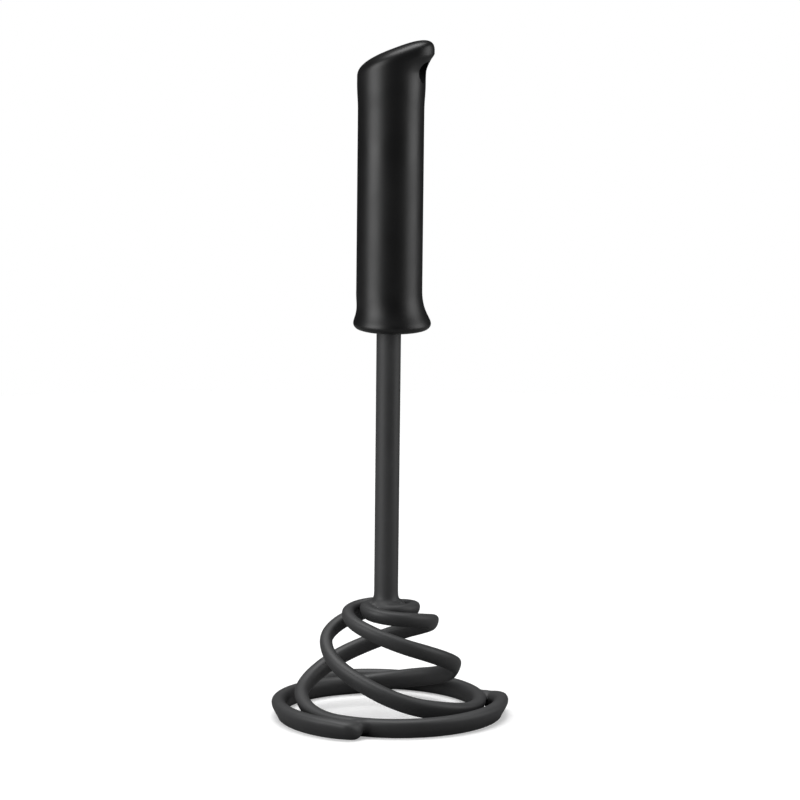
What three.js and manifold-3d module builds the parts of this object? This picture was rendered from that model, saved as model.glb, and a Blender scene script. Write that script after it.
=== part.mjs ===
// Spring-coil masher: a round handle with a hanging beak, a slim shaft, and a conical head wound
// from three identical strands that presses flat against a bowl and springs back.
// Millimetres, +Z up. The head stands on Z = 0, the beak of the handle points along +X, and the
// origin is at the centre of the footprint's bounding box, AXIS_X and AXIS_Y off the shaft's axis.
import * as THREE from 'three';
import { mergeVertices } from 'three/addons/utils/BufferGeometryUtils.js';
import Module from 'manifold-3d';

const wasm = await Module();
wasm.setup();
const { Manifold, Mesh: SolidMesh } = wasm;

// ---------------------------------------------------------------- driving dimensions
const AXIS_X = -1.43;           // shaft axis from the centre of the footprint's bounding box
const AXIS_Y = 2.03;
const GAP = 0.3;                // clearance between pieces that touch

// head: three strands, each described along its winding angle TAU (degrees)
const STRANDS = 3;
const START_DEG = 81;           // where the first strand leaves the hub, from +X
const TAU = [-60, 0, 60, 120, 180, 240, 300, 360, 420, 480, 530, 542, 551, 561];
const ZC = [45.6, 45.5, 45.0, 43.7, 40.2, 32.6, 21.7, 9.5, 3.65, 3.85, 4.0, 3.95, 3.8, 3.7];     // section centre height
const RO = [7.1, 10.3, 13.7, 18.0, 21.75, 27.2, 31.5, 37.5, 42.2, 47.2, 51.1, 51.8, 52.2, 52.3];  // outer radius
const W = [5.2, 5.4, 5.3, 5.2, 5.2, 5.2, 5.35, 5.5, 5.8, 5.8, 5.8, 6.1, 8.6, 10.4];                // radial width
const H = [6.2, 6.6, 6.4, 6.1, 6.3, 6.7, 7.2, 7.8, 8.4, 8.8, 9.1, 9.05, 8.6, 8.4];                 // height
const DRAFT_OUT = [0.28, 0.28, 0.28, 0.28, 0.28, 0.28, 0.4, 0.6, 0.8, 0.92, 0.95, 0.92, 0.68, 0.55]; // how far the outer side slopes in downwards
const DRAFT_IN = [0.28, 0.28, 0.28, 0.28, 0.28, 0.28, 0.26, 0.24, 0.22, 0.2, 0.2, 0.2, 0.1, 0.05];   // the same on the inner side
const ROUND = 2.2;              // superellipse exponent of the section
const SIDES = 12;               // facets round a strand
const ROOT_END = 40;            // the strand proper starts here, on the hub's arm
const RING_START = 404;         // the strand lies on the table from here on
const END_START = 540;          // from here a strand widens to meet the next one, and ends on a slanted, rounded face
const END = 561;
const END_SLANT = 0.45;         // slope of that face, arc length over radius
const END_ROUND = 3.2;          // its outer corner's radius

// shaft and hub
const SHAFT_R_TOP = 5.12;
const SHAFT_R_FOOT = 5.05;
const HUB_TOP = 49.8;
const HUB_BOTTOM = 42.8;
const HUB_R = 6.7;
const TANG_TOP = 235.4;
const TANG_R = 4.4;

// handle
const GRIP_BOTTOM = 164.3;
const GRIP_R = 13.75;
const LIP = [                   // radius and height up the flared lip
  [11.97, GRIP_BOTTOM], [13.6, 164.5], [14.6, 164.83], [15.4, 165.38], [15.95, 166.1], [16.19, 167.0], [16.05, 168.0],
  [15.7, 169.0], [15.15, 170.36], [14.64, 171.8], [14.26, 173.3], [14.0, 175.0], [13.83, 177.5], [GRIP_R, 181.4],
];
const LIP_SHIFT = 1.4;          // the lip stands this much further out on the beak's side
const BULGE = 0.45;             // the body swells by this just under the crown
const CORE_R = 10.4;
const CORE_TOP = 255.4;
const BEAK_Z = [260, 269, 272, 275, 278, 280];         // how far the beak stands out at each height
const BEAK_OUT = [0, 0, 0.15, 1.26, 2.94, 4.2];
const BEAK_POWER = 6;           // how narrow the beak is in plan
const CROWN_Z = 274.3;          // plane from which the crown rises: height at the axis, and slope
const CROWN_SLOPE = 0.36;
const CROWN_H = 7.0;            // crown's rise above that plane at the axis, and how it grows along X
const CROWN_H_SLOPE = 0.062;
const CROWN_ROUND = 2.77;       // superellipse exponent of the crown
const BORE_X = 14.3;            // hanging pocket: an oval bore under the beak that runs in and up through this point
const BORE_Z = 273.3;
const BORE_RUN = 0.77;
const BORE_RISE = 0.64;
const BORE_HIGH = 4.3;          // its half height and half width
const BORE_WIDE = 4.4;
const FLAT_HALF = 3.4;          // flats of the tang, half width across

// ---------------------------------------------------------------- helpers
function solid(geometry) {
  const g = geometry.index ? geometry.clone() : mergeVertices(geometry, 1e-4);
  g.deleteAttribute('normal');
  g.deleteAttribute('uv');
  const m = mergeVertices(g, 1e-4);
  return new Manifold(new SolidMesh({
    numProp: 3,
    vertProperties: new Float32Array(m.attributes.position.array),
    triVerts: new Uint32Array(m.index.array),
  }));
}

function geometryOf(manifold) {
  const m = manifold.getMesh();
  const g = new THREE.BufferGeometry();
  const p = new Float32Array(m.numVert * 3);
  for (let i = 0; i < m.numVert; i++) {
    for (let k = 0; k < 3; k++) p[3 * i + k] = m.vertProperties[i * m.numProp + k];
  }
  g.setAttribute('position', new THREE.BufferAttribute(p, 3));
  g.setIndex(new THREE.BufferAttribute(new Uint32Array(m.triVerts), 1));
  g.computeVertexNormals();
  return g;
}

// monotone cubic interpolation of a table
function curve(xs, ys) {
  const n = xs.length, h = [], d = [], m = new Array(n).fill(0);
  for (let i = 0; i < n - 1; i++) { h.push(xs[i + 1] - xs[i]); d.push((ys[i + 1] - ys[i]) / h[i]); }
  for (let i = 1; i < n - 1; i++) {
    if (d[i - 1] * d[i] > 0) {
      const w1 = 2 * h[i] + h[i - 1], w2 = h[i] + 2 * h[i - 1];
      m[i] = (w1 + w2) / (w1 / d[i - 1] + w2 / d[i]);
    }
  }
  m[0] = d[0];
  m[n - 1] = d[n - 2];
  return (x) => {
    let i = 0;
    while (i < n - 2 && x > xs[i + 1]) i++;
    const t = Math.min(1, Math.max(0, (x - xs[i]) / h[i]));
    const a = t * t * (3 - 2 * t), b = t * (1 - t) * (1 - t), c = t * t * (t - 1);
    return ys[i] * (1 - a) + ys[i + 1] * a + h[i] * (m[i] * b + m[i + 1] * c);
  };
}
const zOf = curve(TAU, ZC), rOf = curve(TAU, RO), wOf = curve(TAU, W), hOf = curve(TAU, H), outOf = curve(TAU, DRAFT_OUT), inOf = curve(TAU, DRAFT_IN);
const ease = (a, b, x) => { const t = Math.min(1, Math.max(0, (x - a) / (b - a))); return t * t * (3 - 2 * t); };
const rad = THREE.MathUtils.degToRad;

// centre of the section at winding angle t
function centre(t, start) {
  const w = wOf(t);
  const r = rOf(t) - w / 2;
  const a = rad(start + t);
  return { p: new THREE.Vector3(r * Math.cos(a), r * Math.sin(a), zOf(t)), w, h: hOf(t), out: outOf(t), in: inOf(t), limit: limitAt(t, r, w) };
}

// how far out of its centre a section reaches near the strand's end: the slanted face, its outer corner rounded off
function limitAt(t, r, w) {
  const left = rad(END - t) * r / END_SLANT;
  const corner = left - w;                     // how far the sharp corner still is, measured out along the section
  const k = END_ROUND / END_SLANT;
  const round = corner > k ? 0 : (k - Math.max(corner, -k)) ** 2 / (4 * k);
  return Math.max(0.5, Math.min(left, w) - (Math.abs(corner) < k ? round * END_SLANT : 0)) - w / 2;
}

const spread = (a, b, n) => [...Array(n + 1).keys()].map((i) => a + (b - a) * i / n);

// closed solid of one strand through the sections at the winding angles in stations
function strand(start, stations) {
  const pos = [], tri = [], steps = stations.length - 1;
  for (let i = 0; i <= steps; i++) {
    const t = stations[i];
    const c = centre(t, start);
    const tangent = centre(t + 0.5, start).p.sub(centre(t - 0.5, start).p).normalize();
    const out = new THREE.Vector3().crossVectors(tangent, new THREE.Vector3(0, 0, 1)).normalize();
    const up = new THREE.Vector3().crossVectors(out, tangent).normalize();
    for (let j = 0; j < SIDES; j++) {
      const a = 2 * Math.PI * (j + 0.5) / SIDES;
      const cs = Math.cos(a), sn = Math.sin(a);
      const ex = Math.sign(cs) * Math.abs(cs) ** (2 / ROUND);
      const ey = Math.sign(sn) * Math.abs(sn) ** (2 / ROUND);
      const draft = ex > 0 ? c.out : c.in;
      const full = ex * (1 + draft * ey) / Math.sqrt(1 + draft * draft / 2) * c.w / 2;
      const x = t < END_START ? full : Math.min(full, c.limit * (full > 0 ? Math.max(0.7, full / (c.w / 2)) : 1));
      const y = ey * c.h / 2;
      const q = c.p.clone().addScaledVector(out, x).addScaledVector(up, y);
      pos.push(q.x, q.y, q.z);
    }
  }
  for (let i = 0; i < steps; i++) {
    for (let j = 0; j < SIDES; j++) {
      const k = (j + 1) % SIDES, a = i * SIDES + j, b = i * SIDES + k, c = a + SIDES, d = b + SIDES;
      tri.push(a, b, d, a, d, c);
    }
  }
  for (let j = 1; j < SIDES - 1; j++) {
    tri.push(0, j + 1, j);
    const e = steps * SIDES;
    tri.push(e, e + j, e + j + 1);
  }
  const g = new THREE.BufferGeometry();
  g.setAttribute('position', new THREE.BufferAttribute(new Float32Array(pos), 3));
  g.setIndex(tri);
  let s = solid(g);
  if (s.volume() < 0) {
    for (let i = 0; i < tri.length; i += 3) [tri[i], tri[i + 1]] = [tri[i + 1], tri[i]];
    g.setIndex(tri);
    s = solid(g);
  }
  return s;
}

// solid of revolution about Z from [radius, height] pairs that start and end on the axis
function lathe(points, segments = 40) {
  const g = new THREE.LatheGeometry(points.map(([r, z]) => new THREE.Vector2(r, z)), segments);
  g.rotateX(Math.PI / 2);
  return solid(g);
}

const group = new THREE.Group();
const body = new THREE.Group();
body.position.set(AXIS_X, AXIS_Y, 0);
group.add(body);

function add(name, manifold, color, roughness) {
  const mesh = new THREE.Mesh(geometryOf(manifold), new THREE.MeshStandardMaterial({ color, roughness, metalness: 0 }));
  mesh.name = name;
  body.add(mesh);
}
const NYLON = 0x3a3b3c, SATIN = 0x17181a, CORE = 0x2a2a2b;

// ---------------------------------------------------------------- head
const starts = [...Array(STRANDS).keys()].map((i) => START_DEG + i * 360 / STRANDS);

// the ring on which the head stands: the last part of each strand, run into the next one
let ring = null;
for (const a of starts) {
  const s = strand(a, [...spread(RING_START, END_START, 21), ...spread(END_START + 2, 550, 4), ...spread(551, END, 10)]);
  ring = ring ? ring.add(s) : s;
}
// its underside is cut flat where it stands
ring = ring.trimByPlane([0, 0, 1], 0);
add('base_ring', ring, NYLON, 0.62);

// the three springing strands, from the hub's arms to the ring
const gapDeg = (r) => THREE.MathUtils.radToDeg(GAP / r);
starts.forEach((a, i) => {
  add(`coil_strand_${i + 1}`, strand(a, spread(ROOT_END + gapDeg(9.5), RING_START - gapDeg(38), 54)), NYLON, 0.62);
});

// shaft with its filleted foot, the hub with three arms, and the tang inside the handle
let shaft = lathe([
  [0, HUB_BOTTOM], [4.4, HUB_BOTTOM], [5.8, HUB_BOTTOM + 0.9], [HUB_R, HUB_BOTTOM + 2.6], [HUB_R, 47.7], [6.35, 49.0],
  [5.95, HUB_TOP], [5.45, 50.8], [5.15, 51.9], [SHAFT_R_FOOT, 53.2], [SHAFT_R_TOP, 167.4],
  [SHAFT_R_TOP, 168.6], [TANG_R, 169.4], [TANG_R, TANG_TOP - 1.2], [TANG_R - 1, TANG_TOP], [0, TANG_TOP],
], 32);
const flat = (sign) => solid(new THREE.BoxGeometry(12, 6, 80)).translate([0, sign * (FLAT_HALF + 3), 169.9 + 40]);
shaft = shaft.subtract(flat(1)).subtract(flat(-1));
for (const a of starts) shaft = shaft.add(strand(a, spread(-58, ROOT_END, 12)));
add('shaft', shaft, NYLON, 0.6);

// ---------------------------------------------------------------- handle
// soft outer handle, ring by ring: the flared lip, a little fuller towards the beak, the round
// body, the wall that runs out into the beak, and the crown that closes it over a slanted plane
const beakOf = curve(BEAK_Z, BEAK_OUT);
const gripR = (z) => GRIP_R + BULGE * ease(256, 267, z);
const planR = (a, z) => gripR(z) + beakOf(Math.min(z, BEAK_Z[BEAK_Z.length - 1])) * Math.max(0, Math.cos(a)) ** BEAK_POWER;
const wallTop = (a) => {
  let x = GRIP_R * Math.cos(a);
  for (let i = 0; i < 12; i++) x = planR(a, CROWN_Z + CROWN_SLOPE * x) * Math.cos(a);
  return CROWN_Z + CROWN_SLOPE * x;
};
const rings = LIP.map(([r, z]) => (a) => [LIP_SHIFT * (1 - ease(167, 180, z)) + r * Math.cos(a), r * Math.sin(a), z]);
for (const z of [200, 229, 250, 257]) rings.push((a) => [planR(a, z) * Math.cos(a), planR(a, z) * Math.sin(a), z]);
for (const k of [0.25, 0.45, 0.65, 0.85, 1]) {
  rings.push((a) => { const z = 257 + (wallTop(a) - 257) * k, r = planR(a, z); return [r * Math.cos(a), r * Math.sin(a), z]; });
}
for (let i = 1; i < 9; i++) {
  rings.push((a) => {
    const t = Math.PI / 2 * i / 9, r = planR(a, wallTop(a)) * Math.cos(t) ** (2 / CROWN_ROUND);
    const x = r * Math.cos(a);
    return [x, r * Math.sin(a), CROWN_Z + CROWN_SLOPE * x + (CROWN_H + CROWN_H_SLOPE * x) * Math.sin(t) ** (2 / CROWN_ROUND)];
  });
}
const around = 44, pos = [], tri = [];
for (const ring of rings) for (let j = 0; j < around; j++) pos.push(...ring(2 * Math.PI * j / around));
for (let i = 0; i < rings.length - 1; i++) {
  for (let j = 0; j < around; j++) {
    const k = (j + 1) % around, a = i * around, b = a + around;
    tri.push(a + j, a + k, b + k, a + j, b + k, b + j);
  }
}
const low = rings.length * around, high = low + 1, lastRing = (rings.length - 1) * around;
pos.push(0, 0, LIP[0][1], 0, 0, CROWN_Z + CROWN_H);
for (let j = 0; j < around; j++) {
  const k = (j + 1) % around;
  tri.push(low, k, j, high, lastRing + j, lastRing + k);
}
const gripSkin = new THREE.BufferGeometry();
gripSkin.setAttribute('position', new THREE.BufferAttribute(new Float32Array(pos), 3));
gripSkin.setIndex(tri);
let grip = solid(gripSkin);
// socket for the core, open below
grip = grip.subtract(lathe([[0, 150], [CORE_R + GAP, 150], [CORE_R + GAP, CORE_TOP - 3 + GAP], [CORE_R - 3 + GAP, CORE_TOP + GAP], [0, CORE_TOP + GAP]], 40));
// hanging pocket under the beak: an oval bore that runs in and up, its blind end tapered
const bore = new THREE.LatheGeometry([[0, -9], [1, -9], [1, 5], [0.72, 6.5], [0, 6.5]].map(([r, z]) => new THREE.Vector2(r, z)), 32);
bore.rotateX(Math.PI / 2);
bore.applyMatrix4(new THREE.Matrix4().makeBasis(
  new THREE.Vector3(BORE_RISE, 0, BORE_RUN).multiplyScalar(BORE_HIGH),
  new THREE.Vector3(0, BORE_WIDE, 0),
  new THREE.Vector3(-BORE_RUN, 0, BORE_RISE),
).setPosition(BORE_X, 0, BORE_Z));
grip = grip.subtract(solid(bore));
add('grip_shell', grip, SATIN, 0.38);

// rigid insert inside the handle, with the socket that takes the shaft's tang
let core = lathe([[0, GRIP_BOTTOM + 0.8], [CORE_R, GRIP_BOTTOM + 0.8], [CORE_R, CORE_TOP - 3], [CORE_R - 3, CORE_TOP], [0, CORE_TOP]], 40);
let socket = lathe([[0, 150], [SHAFT_R_TOP + GAP, 150], [SHAFT_R_TOP + GAP, 168.8 + GAP], [TANG_R + GAP, 169.6 + GAP], [TANG_R + GAP, TANG_TOP + 1.5], [0, TANG_TOP + 1.5]], 32);
const key = (sign) => solid(new THREE.BoxGeometry(14, 6, 64)).translate([0, sign * (FLAT_HALF + GAP + 3), 171.4 + 32]);
socket = socket.subtract(key(1)).subtract(key(-1));
core = core.subtract(socket);
add('handle_core', core, CORE, 0.6);

export default group;
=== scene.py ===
import math

import bpy
import numpy as np
from mathutils import Matrix, Vector


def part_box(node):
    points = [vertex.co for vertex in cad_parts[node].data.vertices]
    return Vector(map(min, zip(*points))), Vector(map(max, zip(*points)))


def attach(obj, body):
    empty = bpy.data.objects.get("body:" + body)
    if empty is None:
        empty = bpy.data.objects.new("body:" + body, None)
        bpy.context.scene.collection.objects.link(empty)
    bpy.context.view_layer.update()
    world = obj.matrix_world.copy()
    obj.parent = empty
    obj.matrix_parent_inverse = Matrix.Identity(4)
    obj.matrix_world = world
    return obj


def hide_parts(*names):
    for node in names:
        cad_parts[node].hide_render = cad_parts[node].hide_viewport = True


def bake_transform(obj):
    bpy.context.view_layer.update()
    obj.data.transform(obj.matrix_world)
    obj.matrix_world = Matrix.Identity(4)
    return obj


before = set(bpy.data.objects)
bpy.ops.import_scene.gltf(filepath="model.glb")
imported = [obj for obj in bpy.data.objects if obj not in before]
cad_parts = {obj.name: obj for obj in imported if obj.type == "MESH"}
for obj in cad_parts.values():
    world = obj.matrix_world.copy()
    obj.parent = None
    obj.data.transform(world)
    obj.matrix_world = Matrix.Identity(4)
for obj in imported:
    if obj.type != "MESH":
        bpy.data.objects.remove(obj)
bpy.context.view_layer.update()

# ------------------------------------------------------------------ sizes, in millimetres, as in the CAD
AXIS = np.array([-1.43, 2.03, 0.0])
START_DEG = 81.0
TAU = [-60, 0, 60, 120, 180, 240, 300, 360, 420, 480, 530, 542, 551, 561]
ZC = [45.6, 45.5, 45.0, 43.7, 40.2, 32.6, 21.7, 9.5, 3.65, 3.85, 4.0, 3.95, 3.8, 3.7]
RO = [7.1, 10.3, 13.7, 18.0, 21.75, 27.2, 31.5, 37.5, 42.2, 47.2, 51.1, 51.8, 52.2, 52.3]
WIDTH = [5.2, 5.4, 5.3, 5.2, 5.2, 5.2, 5.35, 5.5, 5.8, 5.8, 5.8, 6.1, 8.6, 10.4]
HEIGHT = [6.4, 6.6, 6.4, 6.1, 6.3, 6.7, 7.2, 7.8, 8.4, 8.8, 9.1, 9.05, 8.6, 8.4]
DRAFT_OUT = [0.28, 0.28, 0.28, 0.28, 0.28, 0.28, 0.4, 0.6, 0.8, 0.92, 0.95, 0.92, 0.68, 0.55]
DRAFT_IN = [0.28, 0.28, 0.28, 0.28, 0.28, 0.28, 0.26, 0.24, 0.22, 0.2, 0.2, 0.2, 0.1, 0.05]
ROUND = 2.2
END_SLANT = 0.45
END_ROUND = 5.0
SHAFT_TOP_Z = 168.6

GRIP_R = 13.75
LIP = [(10.75, 164.3), (11.97, 164.3), (12.9, 164.36), (13.6, 164.5), (14.6, 164.83), (15.4, 165.38), (15.95, 166.1), (16.19, 167.0),
       (16.05, 168.0), (15.7, 169.0), (15.15, 170.36), (14.64, 171.8), (14.26, 173.3), (14.0, 175.0), (13.83, 177.5), (13.75, 181.4)]
LIP_SHIFT = 1.4
BULGE = 0.45
BEAK_Z = [240, 260, 269, 272, 275, 278, 280, 290]
BEAK_OUT = [0, 0, 0, 0.15, 1.26, 2.94, 4.2, 4.2]
BEAK_POWER = 6
CROWN_Z, CROWN_SLOPE, CROWN_H, CROWN_H_SLOPE, CROWN_ROUND = 274.3, 0.36, 7.0, 0.062, 2.77
CORE_R, CORE_TOP = 10.7, 255.7
BORE_X, BORE_Z, BORE_RUN, BORE_RISE, BORE_HIGH, BORE_WIDE = 14.3, 273.3, 0.77, 0.64, 4.3, 4.4


# ------------------------------------------------------------------ small helpers
def curve(xs, ys):
    """Monotone cubic through a table, as in the CAD."""
    xs, ys = np.array(xs, float), np.array(ys, float)
    h = np.diff(xs)
    d = np.diff(ys) / h
    m = np.zeros(len(xs))
    for i in range(1, len(xs) - 1):
        if d[i - 1] * d[i] > 0:
            w1, w2 = 2 * h[i] + h[i - 1], h[i] + 2 * h[i - 1]
            m[i] = (w1 + w2) / (w1 / d[i - 1] + w2 / d[i])
    m[0], m[-1] = d[0], d[-1]

    def f(x):
        x = np.asarray(x, float)
        i = np.clip(np.searchsorted(xs, x, side="left") - 1, 0, len(xs) - 2)
        t = np.clip((x - xs[i]) / h[i], 0, 1)
        a, b, c = t * t * (3 - 2 * t), t * (1 - t) ** 2, t * t * (t - 1)
        return ys[i] * (1 - a) + ys[i + 1] * a + h[i] * (m[i] * b + m[i + 1] * c)

    return f


def ease(a, b, x):
    t = np.clip((np.asarray(x, float) - a) / (b - a), 0, 1)
    return t * t * (3 - 2 * t)


def smin(a, b, k):
    h = np.maximum(k - np.abs(a - b), 0) / k
    return np.minimum(a, b) - h * h * k / 4


def mesh_object(name, verts_mm, faces, smooth=True):
    mesh = bpy.data.meshes.new(name)
    mesh.from_pydata((np.asarray(verts_mm, float) * 0.001).tolist(), [], faces)
    mesh.update()
    if smooth:
        mesh.polygons.foreach_set("use_smooth", np.ones(len(mesh.polygons), bool))
    obj = bpy.data.objects.new(name, mesh)
    bpy.context.scene.collection.objects.link(obj)
    return obj


def ring_faces(n_rings, n, closed_start=None, closed_end=None):
    faces = []
    for i in range(n_rings - 1):
        for j in range(n):
            k = (j + 1) % n
            faces.append((i * n + j, i * n + k, (i + 1) * n + k, (i + 1) * n + j))
    if closed_start is not None:
        faces += [(closed_start, (j + 1) % n, j) for j in range(n)]
    if closed_end is not None:
        o = (n_rings - 1) * n
        faces += [(closed_end, o + j, o + (j + 1) % n) for j in range(n)]
    return faces


def coords(obj):
    co = np.zeros(len(obj.data.vertices) * 3, np.float32)
    obj.data.vertices.foreach_get("co", co)
    return co.reshape(-1, 3).astype(float)


def set_coords(obj, co):
    obj.data.vertices.foreach_set("co", co.astype(np.float32).ravel())
    obj.data.update()


# ------------------------------------------------------------------ head: strands as a distance field
T0, T1, DT = -78.0, 561.0, 0.25
grid = np.arange(T0, T1 + DT / 2, DT)
g_w = curve(TAU, WIDTH)(grid)
g_r = curve(TAU, RO)(grid) - g_w / 2
g_z = curve(TAU, ZC)(grid)
g_h = curve(TAU, HEIGHT)(grid)
g_o = curve(TAU, DRAFT_OUT)(grid)
g_i = curve(TAU, DRAFT_IN)(grid)
g_dr = np.gradient(g_r, math.radians(DT))
g_dz = np.gradient(g_z, math.radians(DT))


def strand_distance(radius, z, tau):
    """Distance to the strand near winding angle tau, for points at that radius and height. Returns it with the section's centre height."""
    delta = np.zeros_like(radius)
    for _ in range(3):
        t = np.clip(tau + np.degrees(delta), T0, T1)
        r, dr, zc, dz = (np.interp(t, grid, g) for g in (g_r, g_dr, g_z, g_dz))
        c, s = np.cos(delta), np.sin(delta)
        tx, ty = dr * c - r * s, dr * s + r * c
        px, py, pz = radius - r * c, -r * s, z - zc
        delta = delta + np.clip((px * tx + py * ty + pz * dz) / (tx * tx + ty * ty + dz * dz), -0.3, 0.3)
    free = tau + np.degrees(delta)
    t = np.clip(free, T0, T1)
    r, dr, zc, dz, w, h, dro, dri = (np.interp(t, grid, g) for g in (g_r, g_dr, g_z, g_dz, g_w, g_h, g_o, g_i))
    delta = np.radians(t - tau)
    c, s = np.cos(delta), np.sin(delta)
    tx, ty, tz = dr * c - r * s, dr * s + r * c, dz
    n = np.sqrt(tx * tx + ty * ty + tz * tz)
    tx, ty, tz = tx / n, ty / n, tz / n
    m = np.sqrt(tx * tx + ty * ty)
    ox, oy = ty / m, -tx / m
    ux, uy, uz = oy * tz, -ox * tz, ox * ty - oy * tx
    px, py, pz = radius - r * c, -r * s, z - zc
    x = px * ox + py * oy
    y = px * ux + py * uy + pz * uz
    along = np.abs(px * tx + py * ty + pz * tz)
    ey = y / (h / 2)
    draft = dri + (dro - dri) * (0.5 + 0.5 * np.tanh(x / 0.6))
    wide = np.maximum(1 + draft * ey, 0.04) / np.sqrt(1 + draft * draft / 2) * w / 2
    ex = x / wide
    rho = (np.abs(ex) ** ROUND + np.abs(ey) ** ROUND) ** (1 / ROUND)
    d = (rho - 1) * np.sqrt(w * h) / 2 * 0.9
    # the end is a slanted face with rounded edges
    end = ((free - T1) * math.pi / 180 * r + END_SLANT * (x + w / 2)) / math.sqrt(1 + END_SLANT ** 2)
    near = t > T1 - 24
    d = np.where(near, -smin(-d, -end, END_ROUND), d)
    return np.where(free < T0, np.maximum(d, along), d), zc


HUB = [(0, 42.8), (4.3, 42.8), (5.1, 42.95), (5.9, 43.4), (6.45, 44.2), (6.65, 45.2), (6.65, 46.6), (6.6, 47.6), (6.35, 48.5), (5.9, 49.2),
       (5.5, 49.9), (5.25, 50.8), (5.12, 51.8), (5.06, 53.0), (5.05, 55.0), (5.12, SHAFT_TOP_Z), (0, SHAFT_TOP_Z)]


def polygon_distance(outline, u, v):
    """Signed distance from points (u, v) to a closed outline, negative inside."""
    best = np.full(u.shape, 1e9)
    inside = np.zeros(u.shape, bool)
    pts = np.array(outline, float)
    for a, b in zip(pts, np.roll(pts, -1, axis=0)):
        ab = b - a
        t = np.clip(((u - a[0]) * ab[0] + (v - a[1]) * ab[1]) / max(ab @ ab, 1e-12), 0, 1)
        best = np.minimum(best, (u - a[0] - t * ab[0]) ** 2 + (v - a[1] - t * ab[1]) ** 2)
        if a[1] != b[1]:
            crosses = (a[1] > v) != (b[1] > v)
            inside ^= crosses & (u < ab[0] * (v - a[1]) / ab[1] + a[0])
    return np.sqrt(best) * np.where(inside, -1, 1)


HUB_OUTLINE = HUB + [(-8.0, SHAFT_TOP_Z), (-8.0, 42.8)]


def grid_end(base):
    """1 near the angle at which the strands end, falling to 0 about 11 degrees away."""
    away = np.abs((base - (T1 - 2) % 120.0 + 60.0) % 120.0 - 60.0)
    return np.clip(1 - away / 11.0, 0, 1)


def head_field(p, want_heights=False):
    """Distance to the whole moulded head and shaft, for points round the shaft's axis."""
    radius = np.hypot(p[:, 0], p[:, 1])
    z = p[:, 2]
    base = (np.degrees(np.arctan2(p[:, 1], p[:, 0])) - START_DEG) % 120.0
    total = polygon_distance(HUB_OUTLINE, radius, z)
    dists, heights = [total], [np.full(len(p), g_z[0])]
    low = z < 56
    for j in range(-1, 5):
        tau = base + 120.0 * j
        use = low & (tau > T0 - 8) & (tau < T1 + 8)
        d = np.full(len(p), 50.0)
        zc = np.full(len(p), g_z[0])
        if use.any():
            d[use], zc[use] = strand_distance(radius[use], z[use], tau[use])
        k = 0.9 + 0.9 * np.clip((12 - radius) / 4, 0, 1) + 2.2 * np.clip(1 - np.abs(radius - 45) / 6, 0, 1) * np.clip((grid_end(base) - 0.1) / 0.5, 0, 1)
        total = smin(total, d, k)
        dists.append(d)
        heights.append(zc)
    total = -smin(-total, z, 0.5)
    if not want_heights:
        return total
    dists, heights = np.array(dists), np.array(heights)
    share = np.exp(-(dists - dists.min(0)) / 0.25)
    return total, (share * heights).sum(0) / share.sum(0)


def sweep(start, name):
    sides, stations = 28, np.concatenate([np.arange(-72, 530, 2.5), np.arange(530, T1 + 0.1, 1.0)])
    rings = []
    for t in stations:
        r, dr, zc, dz, w, h, dro, dri = (float(np.interp(t, grid, g)) for g in (g_r, g_dr, g_z, g_dz, g_w, g_h, g_o, g_i))
        reach = max(0.8, (math.radians(T1 - t) * r - 0.5) / END_SLANT) - w / 2
        tan = np.array([dr, r, dz]) / math.sqrt(dr * dr + r * r + dz * dz)
        out = np.cross(tan, [0, 0, 1.0]); out /= np.linalg.norm(out)
        up = np.cross(out, tan)
        a = 2 * np.pi * (np.arange(sides) + 0.5) / sides
        ex = np.sign(np.cos(a)) * np.abs(np.cos(a)) ** (2 / ROUND)
        ey = np.sign(np.sin(a)) * np.abs(np.sin(a)) ** (2 / ROUND)
        draft = np.where(ex > 0, dro, dri)
        x = ex * (1 + draft * ey) / np.sqrt(1 + draft ** 2 / 2) * w / 2
        x = np.minimum(x, reach)
        q = np.array([r, 0, zc]) + x[:, None] * out + (ey * h / 2)[:, None] * up
        turn = math.radians(start + t)
        c, s = math.cos(turn), math.sin(turn)
        rings.append(np.stack([q[:, 0] * c - q[:, 1] * s, q[:, 0] * s + q[:, 1] * c, q[:, 2]], 1))
    pts = np.concatenate(rings + [rings[0].mean(0)[None], rings[-1].mean(0)[None]])
    n = len(rings) * sides
    faces = ring_faces(len(rings), sides, n, n + 1)
    return mesh_object(name, pts, faces)


def lathe(outline, name, n=64):
    """Closed turned solid from (radius, height) pairs that start and end on the axis."""
    a = 2 * np.pi * np.arange(n) / n
    body = outline[1:-1]
    pts = np.concatenate([np.stack([r * np.cos(a), r * np.sin(a), 0 * a + z], 1) for r, z in body]
                         + [np.array([[0, 0, outline[0][1]], [0, 0, outline[-1][1]]])])
    m = len(body) * n
    return mesh_object(name, pts, ring_faces(len(body), n, m, m + 1))


def join(objs, name):
    bpy.ops.object.select_all(action="DESELECT")
    for o in objs:
        o.select_set(True)
    bpy.context.view_layer.objects.active = objs[0]
    bpy.ops.object.join()
    objs[0].name = name
    objs[0].data.name = name
    return objs[0]


def apply_modifiers(obj):
    dg = bpy.context.evaluated_depsgraph_get()
    mesh = bpy.data.meshes.new_from_object(obj.evaluated_get(dg))
    obj.modifiers.clear()
    old = obj.data
    obj.data = mesh
    bpy.data.meshes.remove(old)
    mesh.name = obj.name


def neighbours_mean(obj, co):
    e = np.zeros(len(obj.data.edges) * 2, np.int32)
    obj.data.edges.foreach_get("vertices", e)
    e = e.reshape(-1, 2)
    total = np.zeros_like(co)
    count = np.zeros(len(co))
    for a, b in ((0, 1), (1, 0)):
        for k in range(3):
            total[:, k] += np.bincount(e[:, a], co[e[:, b], k], len(co))
        count += np.bincount(e[:, a], minlength=len(co))
    return total / np.maximum(count, 1)[:, None]


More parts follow.
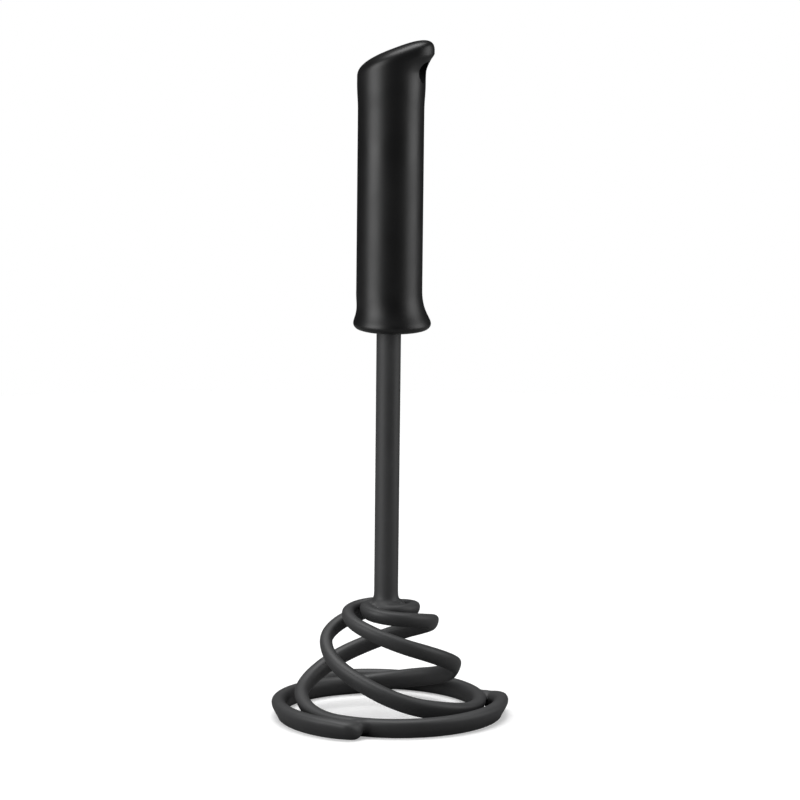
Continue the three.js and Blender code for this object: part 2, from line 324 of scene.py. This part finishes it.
def onto(field, p, rounds=2, most=0.35):
    """Moves points onto the zero surface of a field along its slope."""
    eps = 0.04
    for _ in range(rounds):
        f = field(p)
        g = np.stack([field(p + eps * np.eye(3)[k]) - f for k in range(3)], 1) / eps
        move = -f[:, None] * g / np.maximum((g * g).sum(1), 0.05)[:, None]
        size = np.linalg.norm(move, axis=1)
        p = p + move * np.minimum(1, most / np.maximum(size, 1e-9))[:, None]
    return p


def build_head():
    parts = [sweep(START_DEG + 120 * i, f"strand_{i}") for i in range(3)] + [lathe(HUB, "hub")]
    head = join(parts, "head_and_shaft")
    remesh = head.modifiers.new("remesh", "REMESH")
    remesh.mode = "VOXEL"
    remesh.voxel_size = 0.59 * 0.001
    apply_modifiers(head)
    p = coords(head) * 1000
    p = onto(head_field, p, 2)
    for _ in range(3):
        flat = (p[:, 2] < 0.02)[:, None] | (p[:, 2] > SHAFT_TOP_Z - 0.05)[:, None]
        q = p + 0.55 * (neighbours_mean(head, p) - p)
        q[:, 2:] = np.where(flat, p[:, 2:], q[:, 2:])
        p = onto(head_field, q, 1)
    p = onto(head_field, p, 1)
    p[:, 2] = np.maximum(p[:, 2], 0)
    _, zc = head_field(p, True)
    low, high = float(np.interp(430, grid, g_z)), float(g_z[0])
    weight = np.clip((zc - low) / (high - low), 0, 1)
    weight[p[:, 2] > 50.5] = 1.0
    set_coords(head, (p + AXIS) * 0.001)
    head.data.polygons.foreach_set("use_smooth", np.ones(len(head.data.polygons), bool))
    return head, weight


# ------------------------------------------------------------------ grip: rings over the whole outside, then the cavity inside
beak_of = curve(BEAK_Z, BEAK_OUT)


def plan_r(a, z):
    return GRIP_R + BULGE * ease(256, 267, z) + beak_of(z) * np.maximum(0, np.cos(a)) ** BEAK_POWER


def smooth_profile(points, n):
    """Catmull-Rom through points, n steps a span."""
    p = np.array(points, float)
    q = np.vstack([2 * p[0] - p[1], p, 2 * p[-1] - p[-2]])
    out = []
    for i in range(1, len(q) - 2):
        for t in np.arange(n) / n:
            a, b, c, d = q[i - 1:i + 3]
            out.append(0.5 * (2 * b + (c - a) * t + (2 * a - 5 * b + 4 * c - d) * t * t + (3 * b - a - 3 * c + d) * t ** 3))
    return np.array(out + [q[-2]])


def build_grip():
    n = 144
    a = 2 * np.pi * np.arange(n) / n
    rings = []
    for r, z in smooth_profile(LIP, 3):
        shift = LIP_SHIFT * (1 - float(ease(167, 180, z))) * float(ease(10.7, 12.4, r) if z < 166 else 1)
        rings.append(np.stack([shift + r * np.cos(a), r * np.sin(a), 0 * a + z], 1))
    for z in np.concatenate([np.arange(184.0, 256, 3.0), [257.0]]):
        rr = plan_r(a, z)
        rings.append(np.stack([rr * np.cos(a), rr * np.sin(a), 0 * a + z], 1))
    x = GRIP_R * np.cos(a)
    for _ in range(30):
        x = plan_r(a, CROWN_Z + CROWN_SLOPE * x) * np.cos(a)
    top = CROWN_Z + CROWN_SLOPE * x
    for k in np.linspace(0, 1, 27)[1:]:
        z = 257 + (top - 257) * k
        rr = plan_r(a, z)
        rings.append(np.stack([rr * np.cos(a), rr * np.sin(a), z], 1))
    rim = plan_r(a, top)
    m = 40
    for i in range(1, m):
        t = math.pi / 2 * i / m
        s, c = math.cos(t) ** (2 / CROWN_ROUND), math.sin(t) ** (2 / CROWN_ROUND)
        xx = rim * np.cos(a) * s
        rings.append(np.stack([xx, rim * np.sin(a) * s, CROWN_Z + CROWN_SLOPE * xx + (CROWN_H + CROWN_H_SLOPE * xx) * c], 1))
    outer = len(rings)
    # back down inside, from the lip's inner edge up to the cavity's rounded end
    inner = [(CORE_R, z) for z in (167.0, 180.0, 200.0, 220.0, 240.0, 251.0)] + [(CORE_R, 252.6)]
    inner += [(CORE_R - 3 + 3 * math.cos(t), 252.7 + 3 * math.sin(t)) for t in np.linspace(0.2, math.pi / 2, 7)]
    inner += [(5.0, CORE_TOP), (2.0, CORE_TOP)]
    for r, z in inner:
        rings.append(np.stack([r * np.cos(a), r * np.sin(a), 0 * a + z], 1))
    pts = np.concatenate(rings)
    faces = [f for f in ring_faces(outer, n)]
    first = outer * n
    for j in range(n):
        k = (j + 1) % n
        faces.append((k, j, first + j, first + k))
    for i in range(len(inner) - 1):
        for j in range(n):
            k = (j + 1) % n
            u, v = first + i * n, first + (i + 1) * n
            faces.append((u + k, u + j, v + j, v + k))
    pole_top, pole_in = len(pts), len(pts) + 1
    pts = np.vstack([pts, [0, 0, CROWN_Z + CROWN_H], [0, 0, CORE_TOP]])
    last, deep = (outer - 1) * n, first + (len(inner) - 1) * n
    for j in range(n):
        k = (j + 1) % n
        faces.append((pole_top, last + j, last + k))
        faces.append((pole_in, deep + k, deep + j))
    grip = mesh_object("grip_skin", pts + AXIS, faces)

    # hanging pocket: a bore drilled up and in under the beak, with a rounded end
    axis, across = np.array([-BORE_RUN, 0, BORE_RISE]), np.array([BORE_RISE, 0, BORE_RUN])
    q, bore = 64, []
    turn = 2 * np.pi * np.arange(q) / q
    stations = [(-9.0, 1.0), (-4.0, 1.0), (0.0, 1.0), (3.5, 1.0)] + [(3.5 + 3.0 * math.sin(t), math.cos(t)) for t in np.linspace(0.25, 1.45, 6)]
    for along, share in stations:
        c = np.array([BORE_X, 0, BORE_Z]) + along * axis
        bore.append(c + (BORE_HIGH * share * np.cos(turn))[:, None] * across + (BORE_WIDE * share * np.sin(turn))[:, None] * np.array([0, 1.0, 0]))
    m = len(bore) * q
    bore = np.concatenate(bore + [(np.array([BORE_X, 0, BORE_Z]) - 9.0 * axis)[None], (np.array([BORE_X, 0, BORE_Z]) + 6.5 * axis)[None]])
    tool = mesh_object("cut_bore", bore + AXIS, ring_faces(len(stations), q, m, m + 1))
    fix_normals(tool)
    b = grip.modifiers.new("cut", "BOOLEAN")
    b.operation, b.object, b.solver = "DIFFERENCE", tool, "EXACT"
    apply_modifiers(grip)
    bpy.data.objects.remove(tool)
    smooth_by_angle(grip, 32)
    return grip


def fix_normals(obj):
    import bmesh
    bm = bmesh.new()
    bm.from_mesh(obj.data)
    bmesh.ops.recalc_face_normals(bm, faces=bm.faces)
    bm.to_mesh(obj.data)
    bm.free()


def smooth_by_angle(obj, degrees):
    import bmesh
    bm = bmesh.new()
    bm.from_mesh(obj.data)
    for f in bm.faces:
        f.smooth = True
    limit = math.radians(degrees)
    for e in bm.edges:
        e.smooth = not (len(e.link_faces) == 2 and e.calc_face_angle(0) > limit)
    bm.to_mesh(obj.data)
    bm.free()
    obj.data.update()


# ------------------------------------------------------------------ materials
def material(name, base, rough, grain_mm, grain_bump, mottle, slot, spec=0.5):
    """Moulded polymer: a fine surface grain, slow colour and gloss variation, and pale dust-like flecks scattered at
    random.
    """
    mat = bpy.data.materials.new(name)
    mat.use_nodes = True
    nt = mat.node_tree
    for nd in list(nt.nodes):
        nt.nodes.remove(nd)
    out = nt.nodes.new("ShaderNodeOutputMaterial")
    sh = nt.nodes.new("ShaderNodeBsdfPrincipled")
    nt.links.new(sh.outputs["BSDF"], out.inputs["Surface"])
    sh.inputs["Specular IOR Level"].default_value = spec
    co = nt.nodes.new("ShaderNodeTexCoord")

    def noise(scale, detail, rough_=0.5):
        nd = nt.nodes.new("ShaderNodeTexNoise")
        nd.inputs["Scale"].default_value = scale
        nd.inputs["Detail"].default_value = detail
        nd.inputs["Roughness"].default_value = rough_
        nt.links.new(co.outputs["Object"], nd.inputs["Vector"])
        return nd

    def ramp(source, a, b, ca, cb):
        nd = nt.nodes.new("ShaderNodeValToRGB")
        nd.color_ramp.elements[0].position, nd.color_ramp.elements[1].position = a, b
        nd.color_ramp.elements[0].color, nd.color_ramp.elements[1].color = ca, cb
        nt.links.new(source, nd.inputs["Fac"])
        return nd

    slow = noise(55.0, 4.0)
    fine = noise(1000.0 / grain_mm, 2.0, 0.6)
    speck = noise(420.0, 3.0, 0.65)
    lo = tuple(c * (1 - mottle) for c in base) + (1,)
    hi = tuple(min(1, c * (1 + mottle)) for c in base) + (1,)
    tone = ramp(slow.outputs["Fac"], 0.35, 0.68, lo, hi)
    fleck = ramp(speck.outputs["Fac"], 0.60, 0.78, (0, 0, 0, 1), (1, 1, 1, 1))
    mix = nt.nodes.new("ShaderNodeMix")
    mix.data_type = "RGBA"
    mix.inputs["B"].default_value = tuple(min(1, c * 1.5 + 0.004) for c in base) + (1,)
    scale = nt.nodes.new("ShaderNodeMath")
    scale.operation = "MULTIPLY"
    scale.inputs[1].default_value = 0.35
    nt.links.new(fleck.outputs["Color"], scale.inputs[0])
    nt.links.new(scale.outputs[0], mix.inputs["Factor"])
    nt.links.new(tone.outputs["Color"], mix.inputs["A"])
    nt.links.new(mix.outputs["Result"], sh.inputs["Base Color"])
    r = nt.nodes.new("ShaderNodeMapRange")
    r.inputs["From Min"].default_value, r.inputs["From Max"].default_value = 0.3, 0.7
    r.inputs["To Min"].default_value, r.inputs["To Max"].default_value = rough - 0.045, rough + 0.045
    nt.links.new(slow.outputs["Fac"], r.inputs["Value"])
    nt.links.new(r.outputs["Result"], sh.inputs["Roughness"])
    bump = nt.nodes.new("ShaderNodeBump")
    bump.inputs["Strength"].default_value = grain_bump
    bump.inputs["Distance"].default_value = 0.00004
    nt.links.new(fine.outputs["Fac"], bump.inputs["Height"])
    nt.links.new(bump.outputs["Normal"], sh.inputs["Normal"])
    mat["slot"] = slot
    return mat


def put(obj, mat):
    obj.data.materials.clear()
    obj.data.materials.append(mat)
    obj.data.polygons.foreach_set("material_index", np.zeros(len(obj.data.polygons), np.int32))


nylon = material("moulded_nylon", (0.038, 0.0385, 0.0395), 0.56, 0.45, 0.45, 0.10, "head_nylon", 0.5)
satin = material("satin_black", (0.0032, 0.0033, 0.0036), 0.43, 0.30, 0.22, 0.10, "grip_satin", 0.5)
core = material("core_moulding", (0.022, 0.022, 0.023), 0.52, 0.60, 0.5, 0.12, "core_plastic", 0.45)

# ------------------------------------------------------------------ pieces
head, weight = build_head()
put(head, nylon)
hub_low, hub_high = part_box("shaft")
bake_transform(head)
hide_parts("base_ring", "coil_strand_1", "coil_strand_2", "coil_strand_3", "shaft")

grip = build_grip()
put(grip, satin)
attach(grip, "handle")
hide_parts("grip_shell")

core_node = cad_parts["handle_core"]
core_node.data.materials.clear()
core_node.data.materials.append(core)

# ------------------------------------------------------------------ floor, light, camera
FLOOR_R = 800
def stage_material():
    """White to look at, and greyer for the light that it throws back up at the object."""
    mat = bpy.data.materials.new("studio_white")
    mat.use_nodes = True
    nt = mat.node_tree
    seen = nt.nodes["Principled BSDF"]
    seen.inputs["Base Color"].default_value = (0.95, 0.95, 0.95, 1)
    seen.inputs["Roughness"].default_value = 0.25
    seen.inputs["Specular IOR Level"].default_value = 0.5
    seen.inputs["Emission Color"].default_value = (1, 1, 1, 1)
    seen.inputs["Emission Strength"].default_value = 0.36
    bounce = nt.nodes.new("ShaderNodeBsdfDiffuse")
    bounce.inputs["Color"].default_value = (0.22, 0.22, 0.22, 1)
    path, choose = nt.nodes.new("ShaderNodeLightPath"), nt.nodes.new("ShaderNodeMixShader")
    nt.links.new(path.outputs["Is Camera Ray"], choose.inputs[0])
    nt.links.new(bounce.outputs["BSDF"], choose.inputs[1])
    nt.links.new(seen.outputs["BSDF"], choose.inputs[2])
    nt.links.new(choose.outputs["Shader"], nt.nodes["Material Output"].inputs["Surface"])
    return mat


ring = np.linspace(0, 2 * np.pi, 129)[:-1]
floor = mesh_object("floor", np.stack([FLOOR_R * np.cos(ring), FLOOR_R * np.sin(ring), 0 * ring], 1), [tuple(range(128))], False)
floor.location.z = -0.00002
put(floor, stage_material())

world = bpy.data.worlds.new("studio")
bpy.context.scene.world = world
world.use_nodes = True
wn = world.node_tree
backdrop = wn.nodes["Background"]
backdrop.inputs["Color"].default_value = (1, 1, 1, 1)
backdrop.inputs["Strength"].default_value = 1.0
room = wn.nodes.new("ShaderNodeBackground")
room.inputs["Color"].default_value = (1, 1, 1, 1)
room.inputs["Strength"].default_value = 0.025
seen_by = wn.nodes.new("ShaderNodeLightPath")
choose = wn.nodes.new("ShaderNodeMixShader")
wn.links.new(seen_by.outputs["Is Camera Ray"], choose.inputs[0])
wn.links.new(room.outputs["Background"], choose.inputs[1])
wn.links.new(backdrop.outputs["Background"], choose.inputs[2])
wn.links.new(choose.outputs["Shader"], wn.nodes["World Output"].inputs["Surface"])

AZ, EL, DIST, FOCAL = math.radians(21), math.radians(13.64), 2.066, 4886.5


def area(name, azimuth, elevation, distance, width, height, power, aim=(0, 0, 0.16)):
    a, e = math.radians(azimuth), math.radians(elevation)
    back = Vector((math.sin(a) * math.cos(e), -math.cos(a) * math.cos(e), math.sin(e)))
    data = bpy.data.lights.new(name, "AREA")
    data.shape, data.size, data.size_y, data.energy = "RECTANGLE", width, height, power
    lamp = bpy.data.objects.new(name, data)
    bpy.context.scene.collection.objects.link(lamp)
    lamp.location = Vector(aim) + back * distance
    lamp.rotation_mode = "QUATERNION"
    lamp.rotation_quaternion = back.to_track_quat("Z", "Y")
    return lamp


area("left_box", 21 - 58, 8, 1.3, 0.95, 1.3, 17)
area("right_box", 21 + 84, 8, 1.3, 0.95, 1.3, 11)
sky = bpy.data.lights.new("overhead", "SUN")
sky.energy, sky.angle = 2.7, math.radians(46)
overhead = bpy.data.objects.new("overhead", sky)
bpy.context.scene.collection.objects.link(overhead)
overhead.rotation_mode = "QUATERNION"
overhead.rotation_quaternion = Vector((-0.12, 0.10, 1.0)).to_track_quat("Z", "Y")

back = Vector((math.sin(AZ) * math.cos(EL), -math.cos(AZ) * math.cos(EL), math.sin(EL)))
camera_data = bpy.data.cameras.new("camera")
camera_data.sensor_width = 36.0
camera_data.lens = FOCAL / 800 * 36.0
camera_data.clip_start, camera_data.clip_end = 0.1, 30
camera = bpy.data.objects.new("camera", camera_data)
bpy.context.scene.collection.objects.link(camera)
bpy.context.scene.camera = camera
base_point = Vector((AXIS[0] * 0.001, AXIS[1] * 0.001, 0))
camera.location = base_point + back * DIST
d = Vector((384.8 - 400, -(714.0 - 400), -FOCAL)).normalized()
roll = math.radians(0.6)
up_seen = Vector((math.sin(roll), math.cos(roll), 0))
up_seen = (up_seen - d * up_seen.dot(d)).normalized()
w1 = -back
w2 = (Vector((0, 0, 1)) - w1 * w1.z).normalized()
w3 = w1.cross(w2)
seen = Matrix((d, up_seen, d.cross(up_seen))).transposed()
real = Matrix((w1, w2, w3)).transposed()
camera.rotation_mode = "QUATERNION"
camera.rotation_quaternion = (real @ seen.transposed()).to_quaternion()

bpy.context.scene.view_settings.view_transform = "Standard"
